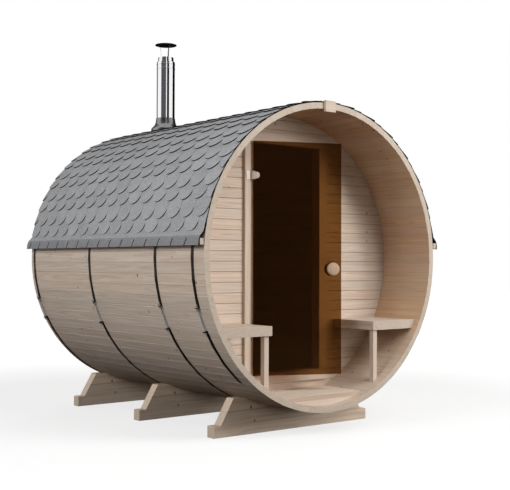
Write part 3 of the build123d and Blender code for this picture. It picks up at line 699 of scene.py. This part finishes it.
# On each side every hoop is drawn tight by a zinc-plated M8 threaded rod, which runs
# through the strap's two turned-out lugs and has washers and nuts on both sides of them.
# A thin band bridges the gap in the strap behind it.
ROD_REACH, BAND_RADIUS = HOOP_RADIUS + 0.013, HOOP_RADIUS - 0.0006
UPPER_LUG, LOWER_LUG, LUG_STEEL = radians(17.8), radians(26.4), 0.0048
THREAD_PITCH, BAND_HALF, BAND_STEPS = 0.0018, 0.009, 8
SIDES = ((-1, "left"), (1, "right"))
zinc_steel = metal("zinc_steel", paint(226, 224, 220), 0.36, 0.5, scale=140.0)
for side, word in SIDES:
    start = Vector((side * cos(UPPER_LUG), 0, -sin(UPPER_LUG))) * ROD_REACH
    end = Vector((side * cos(LOWER_LUG), 0, -sin(LOWER_LUG))) * ROD_REACH
    span = (end - start).length
    run = (end - start).normalized()
    thread = [(0.0030, -0.0220), (0.0038, -0.0212)]
    height = -0.0205
    while height < span + 0.0198:
        thread += [(0.0040, height), (0.00345, height + THREAD_PITCH / 2)]
        height += THREAD_PITCH
    rod = turned("rod", [*thread, (0.0038, span + 0.0212), (0.0030, span + 0.0220)], 12)
    parts = []
    nut_outline = [(0.0078, 0.0), (0.0090, 0.0009), (0.0090, 0.0067), (0.0078, 0.0076)]
    washer_outline = [(0.0100, 0.0), (0.0104, 0.0003), (0.0104, 0.0013), (0.0100, 0.0016)]
    stack = ((washer_outline, 28, 0.0), (nut_outline, 6, 0.0017), (nut_outline, 6, 0.0094))
    for way, seat, outer in ((-1, -LUG_STEEL, True), (1, LUG_STEEL, False),
                             (-1, span - LUG_STEEL, False), (1, span + LUG_STEEL, True)):
        for outline, sides, lift in stack if outer else stack[:2]:
            part = turned("nut", outline, sides)
            parts.append(put(part, (0, 0, seat + way * lift), (0, 0, way), 60 * lift))
    pattern = joined([rod, *parts], "tensioner")
    rods = [put(new_object("tensioner", pattern.data.copy()),
                Vector((0, place, AXIS_HEIGHT)) + start, run) for place in HOOP_PLACES]
    bpy.data.objects.remove(pattern)
    band_line = []
    for number in range(BAND_STEPS + 1):
        angle = UPPER_LUG + (LOWER_LUG - UPPER_LUG) * (number / BAND_STEPS * 1.02 - 0.01)
        band_line.append((side * cos(angle) * BAND_RADIUS,
                          AXIS_HEIGHT - sin(angle) * BAND_RADIUS))
    for place in HOOP_PLACES:
        band = ribbon("band", band_line, place - BAND_HALF, place + BAND_HALF)
        close_mesh()
        apply_modifier(band, "SOLIDIFY", thickness=0.0012, offset=0)
        rods.append(band)
    rods = joined(rods, "tensioner_rods_" + word)
    smoothed(rods, 30)
    fixed(rods, zinc_steel, "sauna", "zinc_steel", "tensioners_" + word)


# The roof is laid with felt shingles in rows of round-ended tabs, 151 mm wide. Each row
# lies half a tab on from the one below, and its tabs hang down 66 mm over that one.
TAB, TAB_ROUND, TAB_STRAIGHT = 0.1509, 0.066, 0.115
FELT_THICKNESS, TIP_LIFT, CREST_GAP = 0.006, 0.011, 0.0004
ROOF_FRONT, ROOF_REAR = -1.144, 1.164
ROOF_RADIUS = 1.0296
NOTCHES = {"a": ROOF_FRONT + 0.077, "b": ROOF_FRONT + 0.0045}
FIRST_LEAN = 5.99
BENDS = ((0.03, 1.92), (0.066, 1.22), (0.105, -1.51), (0.145, 1.9))
FIRST_TIPS, ROW_PAIR_STEP = (8.6, 13.55), 11.45
ROWS, CREST_ROWS, TONES = 14, 2, 20


def felt(name, colour, darker):
    """Felt with mineral grit, each tab with its own tone and a darker cut edge."""
    made, tree = new_material(name)
    place = add(tree, "TexCoord").outputs["Object"]
    tone = add(tree, "Attribute", attribute_name="tone").outputs["Fac"]
    grit = add(tree, "TexVoronoi", Vector=place, Scale=520.0, feature="F1")
    patch = add(tree, "TexNoise", Vector=place, Scale=14.0, Detail=4.0)
    grit_roll = add(tree, "SeparateColor", grit.outputs["Color"]).outputs[0]
    share = calc(tree, "MULTIPLY_ADD", grit_roll, 0.85, calc(
        tree, "MULTIPLY", patch.outputs[0], 0.35))
    base = mixed(tree, calc(tree, "SUBTRACT", share, 0.2, clamp=True), colour, darker)
    toned = add(tree, "HueSaturation", Value=calc(tree, "MULTIPLY_ADD", tone, 0.1, 0.95),
                Color=base)
    surface = add(tree, "BsdfPrincipled", Base_Color=toned.outputs[0], Roughness=0.93,
                  Specular_IOR_Level=0.2)
    relief = add(tree, "Bump", Strength=0.6, Distance=0.0012, Height=grit.outputs["Distance"])
    feed(tree, surface.inputs["Normal"], relief.outputs[0])
    add(tree, "OutputMaterial", surface.outputs[0])
    return made


def tab_row(kind):
    """One row as it lies flat on top of the barrel, its tabs' round ends towards -X."""
    first = NOTCHES[kind] + TAB / 2
    while first > ROOF_FRONT + TAB / 2:
        first -= TAB
    arc_radius = ((TAB / 2) ** 2 + TAB_ROUND ** 2) / (2 * TAB_ROUND)
    row = new_primitive(bpy.ops.mesh.primitive_circle_add, "row_master", vertices=20,
                        radius=arc_radius, fill_type="NGON", location=(arc_radius, first, 0))
    settle(row)
    open_mesh(row)
    cut((TAB_ROUND, 0, 0), (1, 0, 0), clear_outer=True)
    pick(row, lambda e: all(abs(v.co.x - TAB_ROUND) < 0.0001 for v in e.verts), "EDGE")
    bpy.ops.mesh.extrude_region_move(TRANSFORM_OT_translate={"value": (TAB_STRAIGHT, 0, 0)})
    close_mesh()
    apply_modifier(row, "ARRAY", count=17, use_relative_offset=False, use_constant_offset=True,
                   constant_offset_displace=(0, TAB, 0), use_merge_vertices=False)
    open_mesh(row)
    for place, normal in ((ROOF_FRONT, -1), (ROOF_REAR, 1)):
        cut((0, place, 0), (0, normal, 0), clear_outer=True)
    for line, turn in BENDS:
        cut((line, 0, 0), (1, 0, 0))
    bpy.ops.mesh.select_all(action="SELECT")
    bpy.ops.transform.rotate(value=-radians(FIRST_LEAN), orient_axis="Y",
                             center_override=(0, 0, 0))
    bpy.ops.transform.translate(value=(0, 0, ROOF_RADIUS + TIP_LIFT))
    for line, turn in BENDS:
        pick(row, lambda v: v.co.x > line + 0.0015, "VERT")
        bpy.ops.transform.rotate(value=-radians(turn), orient_axis="Y",
                                 center_override=(line, 0, ROOF_RADIUS))
    close_mesh()
    row.data.materials.append(felt_grey)
    row.data.materials.append(felt_cut)
    apply_modifier(row, "SOLIDIFY", thickness=FELT_THICKNESS, offset=-1,
                   material_offset_rim=1)
    return row


def random_tones(row, first, seed):
    """Gives each tab of a row a tone of its own, from 0 to 1."""
    draw = random.Random(seed)
    tones = [draw.random() for _ in range(TONES)]
    tone = row.data.attributes.new("tone", "FLOAT", "FACE")
    tone.data.foreach_set("value", [
        tones[int((face.center.y - first) // TAB) % TONES] for face in row.data.polygons])


def laid_on(master, side, turn):
    """A copy of a row made at the crest, turned about the barrel's axis to its place and
    left open in edit mode."""
    row = new_object("row", master.data.copy())
    row.matrix_world = (Matrix.Translation((0, 0, AXIS_HEIGHT))
                        @ Matrix.Rotation(side * turn, 4, "Y")
                        @ Matrix.Diagonal((-side, 1, 1, 1)))
    settle(row)
    open_mesh(row)
    face_outwards()
    return row


felt_grey = felt("grey_felt", paint(193, 193, 194), paint(114, 114, 115))
felt_cut = felt("felt_cut_edge", paint(12, 12, 12), paint(6, 6, 6))
masters = {kind: tab_row(kind) for kind in NOTCHES}
for side, word in SIDES:
    rows = []
    for number in range(ROWS):
        kind = "ab"[number % 2]
        tip_angle = FIRST_TIPS[number % 2] + ROW_PAIR_STEP * (number // 2)
        row = laid_on(masters[kind], side, radians(90 - tip_angle))
        if number >= ROWS - CREST_ROWS:
            cut((side * CREST_GAP, 0, 0), (side, 0, 0), clear_inner=True, use_fill=True)
        close_mesh()
        random_tones(row, NOTCHES[kind] - TAB, 40 + number)
        rows.append(row)
    roof = joined(rows, "shingles_" + word)
    fixed(roof, None, "sauna", "shingle", "roof_" + word)
for master in masters.values():
    bpy.data.objects.remove(master)


# A starter strip of the same felt lies under the first row, folded down over the eaves
# batten; below the fold it is painted darker, as painted shade. Slits let it take the fold,
# and a black sheet under them is painted shade in the slits.
def in_slit(face):
    middle = face.calc_center_median()
    lean = middle.y + SLIT_LEAN * (middle.z - EAVES_HEIGHT) - ROOF_FRONT
    off = abs((lean + TAB / 2) % TAB - TAB / 2)
    return middle.z < SLIT_TOP and off < SLIT_HALF * 0.9


BATTEN_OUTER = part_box("eaves_batten_right")[1].x
EAVES_HEIGHT, SLIT_TOP, SLIT_LEAN, SLIT_HALF = 1.2402, 1.288, 0.42, 0.0044
FOLD_TOP = 1.299
starter_felt_painted_shade = felt("starter_felt_painted_shade", paint(166, 166, 167), paint(96, 96, 98))
slit_shade_felt = felt("black_slit_shade_felt", paint(14, 14, 14), paint(8, 8, 8))
upper_line = [((ROOF_RADIUS + lift) * cos(radians(angle)),
               AXIS_HEIGHT + (ROOF_RADIUS + lift) * sin(radians(angle)))
              for angle, lift in ((8.9, 0.0022), (10.2, 0.0002), (11.4, -0.0016))]
for side, word in SIDES:
    line = [(BATTEN_OUTER + 0.0108, EAVES_HEIGHT), (BATTEN_OUTER + 0.0082, 1.266),
            (BATTEN_OUTER + 0.0042, 1.2855), (BATTEN_OUTER - 0.0035, 1.3), *upper_line]
    strip = ribbon("starter_strip_" + word, [(side * x, z) for x, z in line],
                   ROOF_FRONT, ROOF_REAR)
    slit = ROOF_FRONT + TAB
    while slit < ROOF_REAR - 0.02:
        for edge in (-SLIT_HALF, SLIT_HALF):
            cut((0, slit + edge, EAVES_HEIGHT), (0, 1, SLIT_LEAN))
        slit += TAB
    cut((0, 0, SLIT_TOP), (0, 0, 1))
    pick(strip, in_slit)
    bpy.ops.mesh.delete(type="FACE")
    face_outwards()
    close_mesh()
    for material in (starter_felt_painted_shade, felt_cut, felt_grey):
        strip.data.materials.append(material)
    apply_modifier(strip, "SOLIDIFY", thickness=0.0042, offset=0, material_offset_rim=1)
    # Painted shade: below the fold the strip keeps the darker starter felt, above it the grey
    # of the tabs.
    for face in strip.data.polygons:
        if face.center.z > FOLD_TOP and face.material_index == 0:
            face.material_index = 2
    fixed(strip, None, "sauna", "shingle", "roof_" + word)
    # Painted shade: a black sheet lies under the strip so that its slits show dark, as the
    # shade in them.
    line = [(BATTEN_OUTER + 0.0052, EAVES_HEIGHT + 0.001), (BATTEN_OUTER + 0.0046, 1.266),
            (BATTEN_OUTER + 0.0012, 1.2842), (BATTEN_OUTER - 0.006, 1.297),
            *[(x - 0.0035, z) for x, z in upper_line]]
    slit_shade_sheet = ribbon("slit_shade_sheet_" + word, [(side * x, z) for x, z in line],
                     ROOF_FRONT + 0.001, ROOF_REAR - 0.001)
    close_mesh()
    apply_modifier(slit_shade_sheet, "SOLIDIFY", thickness=0.0014, offset=0)
    fixed(slit_shade_sheet, slit_shade_felt, "sauna", "shingle", "roof_" + word)


# A pine batten along each side carries the eaves, and a small chamfered block of pine
# covers the joint of the staves at the top of the front rim.
batten_pine = timber("batten_pine", "YZX", base=1.04, ring=0.005)
block_pine = timber("block_pine", "XZY", base=-1.166, ring=0.006, knots=0.0,
                    pale=paint(208, 193, 180), dark=paint(174, 152, 133))
for node, material, width in (("eaves_batten_left", batten_pine, 0.0015),
                              ("eaves_batten_right", batten_pine, 0.0015),
                              ("apex_block", block_pine, 0.0012)):
    eased_copy(node, "planed", width, material)


# The flue is a polished stainless pipe with two swaged beads and a narrower collar at
# its top. A spun flashing stands round it on the shingles.
flue_middle = Vector((*FLUE_PLACE, 0))
flue_steel = metal("flue_steel", paint(244, 244, 246), 0.045, 1.0, wear=0.008, bump=0.012)
# Painted reflection: the cap is a flat black, for the dark reflection on its steel.
cap_dark_reflection = metal("cap_dark_reflection", paint(12, 12, 12), 0.6, 0.0, wear=0.04)
strap_bright = metal("cap_strap_steel", paint(104, 104, 104), 0.35, 1.0, wear=0.04)
flashing_steel = metal("flashing_steel", paint(150, 150, 152), 0.2, 1.0, scale=24.0, bump=0.25)
bead = [(0.074, -0.0046), (0.0754, -0.0036), (0.0762, -0.0014), (0.0762, 0.0014),
        (0.0754, 0.0036), (0.074, 0.0046)]
outline = [(0.072, 2.06), (0.074, 2.06)]
for height in (2.733, 2.768):
    outline += [(r, height + z) for r, z in bead]
outline += [(0.074, 2.785), (0.0732, 2.788), (0.071, 2.7895), (0.0642, 2.7902),
            (0.063, 2.7915), (0.063, 2.8235), (0.0625, 2.825), (0.0615, 2.825),
            (0.061, 2.8235), (0.061, 2.789), (0.071, 2.7875), (0.072, 2.784), (0.072, 2.06)]
pipe = turned("flue_pipe_steel", outline, 72, closed=True)
put(pipe, flue_middle)
smoothed(pipe, 32)
fixed(pipe, flue_steel, "sauna", "stainless", "flue_pipe")

outline = [(0.0749, 2.3236), (0.0768, 2.3236), (0.0778, 2.3180), (0.0790, 2.3060),
           (0.0810, 2.2930), (0.0832, 2.2830), (0.0870, 2.2720), (0.0922, 2.2630),
           (0.0978, 2.2570), (0.1035, 2.2520), (0.1088, 2.2468), (0.1135, 2.2410),
           (0.1170, 2.2345), (0.1190, 2.2270), (0.1196, 2.2180), (0.1196, 2.1990),
           (0.1184, 2.1990), (0.1184, 2.2175), (0.1178, 2.2262), (0.1158, 2.2335),
           (0.1124, 2.2398), (0.1078, 2.2456), (0.1026, 2.2508), (0.0968, 2.2559),
           (0.0911, 2.2620), (0.0858, 2.2712), (0.0820, 2.2826), (0.0798, 2.2929),
           (0.0778, 2.3060), (0.0766, 2.3180), (0.0749, 2.3226)]
flashing = turned("flue_flashing_spun", [*outline, outline[0]], 72, closed=True)
put(flashing, flue_middle)
smoothed(flashing, 40)
fixed(flashing, flashing_steel, "sauna", "stainless", "flue_flashing")


# A shallow rain cap stands over the flue on three thin straps, which curve in below it
# and are spot welded inside the collar. Its steel is coloured black all over, as a
# painted dark reflection.
outline = [(0.004, 2.9385), (0.045, 2.9345), (0.0845, 2.9282), (0.0872, 2.9268),
           (0.0886, 2.9272), (0.0889, 2.9285), (0.0880, 2.9302), (0.0850, 2.9312),
           (0.0450, 2.9382), (0.0160, 2.9432), (0.004, 2.944)]
cap = turned("rain_cap", outline, 72)
put(cap, flue_middle)
smoothed(cap, 40)
strap_line = [(0.0602, 2.7955), (0.0600, 2.8080), (0.0560, 2.8150), (0.0470, 2.8220),
              (0.0415, 2.8330), (0.0396, 2.8500), (0.0400, 2.8680), (0.0420, 2.8860),
              (0.0456, 2.9040), (0.0510, 2.9200), (0.0580, 2.9330)]
straps = []
for number in range(3):
    strap = ribbon("strap", strap_line, -0.003, 0.003)
    close_mesh()
    apply_modifier(strap, "SOLIDIFY", thickness=0.0018, offset=0)
    strap.matrix_world = (Matrix.Translation(flue_middle)
                          @ Matrix.Rotation(radians(30 + 120 * number), 4, "Z"))
    settle(strap)
    eased(strap, 0.0004)
    straps.append(strap)
fixed(cap, cap_dark_reflection, "sauna", "stainless", "flue_cap")
fixed(joined(straps, "rain_cap_straps"), strap_bright, "sauna", "stainless", "flue_cap")


# The door leaf is one pane of bronze glass, 8 mm thick with polished edges, which stands
# ajar. It has a round wooden knob on each side.
def glass(name, colour):
    made, tree = new_material(name)
    place = add(tree, "TexCoord").outputs["Object"]
    film = add(tree, "TexNoise", Vector=place, Scale=5.0, Detail=3.0)
    surface = add(tree, "BsdfPrincipled", Metallic=0.0, Transmission_Weight=1.0, IOR=1.45,
                  Base_Color=mixed(tree, film.outputs[0], colour,
                                   tuple(c * 0.9 for c in colour[:3]) + (1,)),
                  Roughness=calc(tree, "MULTIPLY", film.outputs[0], 0.004))
    add(tree, "OutputMaterial", surface.outputs[0])
    return made


pane = copy_of("door_glass", "door_pane")
close_mesh()
apply_modifier(pane, "BEVEL", width=0.0012, segments=1, limit_method="ANGLE",
               angle_limit=radians(30))
fixed(pane, glass("bronze_glass", paint(136, 98, 56)), "door", "tinted_glass", "door_glass")

AJAR = radians(24)
LEAF_RUN = Vector((cos(AJAR), -sin(AJAR), 0))
LEAF_OUT = Vector((-sin(AJAR), -cos(AJAR), 0))
HINGE_AXIS = Vector((-0.325, -0.719, 0))
KNOB_RUN, KNOB_HEIGHT, PANE_HALF = 0.572, 1.095, 0.004
knob_wood = timber("knob_wood", "ZXY", base=-0.95, ring=0.0042, knots=0.0,
                   pale=paint(198, 175, 151), dark=paint(160, 128, 99))
outline = [(0.0150, 0.0003), (0.0150, 0.0118), (0.0360, 0.0124), (0.0405, 0.0132),
           (0.0436, 0.0158), (0.0449, 0.0195), (0.0450, 0.0265), (0.0441, 0.0306),
           (0.0418, 0.0334), (0.0385, 0.0349), (0.0200, 0.0358), (0.002, 0.0360)]
for name, turn in (("door_knob_outside", 1), ("door_knob_inside", -1)):
    knob_piece = turned(name + "_turned", outline, 56)
    put(knob_piece, HINGE_AXIS + LEAF_RUN * KNOB_RUN + LEAF_OUT * turn * PANE_HALF
        + Vector((0, 0, KNOB_HEIGHT)), LEAF_OUT * turn)
    smoothed(knob_piece, 38)
    fixed(knob_piece, knob_wood, "door", "knob_wood", name)


# Two satin clamp hinges hold the glass to the left post. Each grips it between a round
# disc on an upright plate in front and a plate behind, and turns on a pin in two eyes.
def plate(width, height, thick, place, ease):
    """An upright metal plate parallel to the glass, its corners rounded."""
    made = new_primitive(bpy.ops.mesh.primitive_cube_add, "plate", size=1)
    made.scale = (width, height, thick)
    settle(made)
    open_mesh(made)
    pick(made, lambda e: abs(e.verts[0].co.z - e.verts[1].co.z) > thick / 2, "EDGE")
    bpy.ops.mesh.bevel(offset=ease, segments=5)
    close_mesh()
    eased(made, 0.0008)
    return put(made, place, LEAF_OUT)


HINGE_HEIGHTS = (0.690, 1.731)
hinge_satin = metal("hinge_satin", paint(232, 220, 210), 0.34, 0.35, wear=0.05, scale=160.0)
disc_outline = [(0.0220, 0.0), (0.0226, 0.0006), (0.0226, 0.0036), (0.0218, 0.0046),
                (0.0176, 0.0050), (0.0170, 0.0044), (0.0164, 0.0044), (0.0158, 0.0051),
                (0.0080, 0.0054), (0.0010, 0.0055)]
knuckle_outline = [(0.0056, -0.0130), (0.0064, -0.0122), (0.0064, 0.0122), (0.0056, 0.0130)]
clamps = []
for height in HINGE_HEIGHTS:
    middle = HINGE_AXIS + Vector((0, 0, height))
    disc = turned("disc", disc_outline, 48)
    smoothed(disc, 35)
    put(disc, middle + LEAF_RUN * 0.0305 + LEAF_OUT * 0.0042, LEAF_OUT)
    knuckle = turned("knuckle", knuckle_outline, 32)
    smoothed(knuckle, 35)
    put(knuckle, middle)
    clamps += [disc, knuckle]
    for width, tall, thick, along, out, corner in (
            (0.0160, 0.0560, 0.0040, 0.0152, 0.0062, 0.0015),
            (0.0085, 0.0260, 0.0160, 0.0050, 0.0003, 0.001),
            (0.0500, 0.0400, 0.0034, 0.0310, -0.0060, 0.006)):
        clamps.append(plate(width, tall, thick,
                            middle + LEAF_RUN * along + LEAF_OUT * out, corner))
clamps = joined(clamps, "hinge_clamps_satin")
fixed(clamps, hinge_satin, "door", "hinge_metal", "hinge_clamps")

brackets = copy_of("hinge_brackets", "hinge_brackets_satin")
close_mesh()
eased(brackets, 0.0006)
bracket_screws = []
BRACKET_FACE = -0.7142
screw_outline = [(0.0042, -0.0006), (0.0042, 0.0002), (0.0036, 0.0010), (0.0018, 0.0013),
                 (0.0016, 0.0004), (0.0004, 0.0003)]
for height in HINGE_HEIGHTS:
    for across, rise in ((-0.349, 0.017), (-0.349, -0.017), (-0.358, 0.0)):
        screw = turned("screw", screw_outline, 20)
        smoothed(screw, 35)
        bracket_screws.append(put(screw, (across, BRACKET_FACE, height + rise), (0, -1, 0)))
brackets = joined([brackets, *bracket_screws], "hinge_brackets_satin")
fixed(brackets, hinge_satin, "sauna", "hinge_metal", "hinge_brackets")
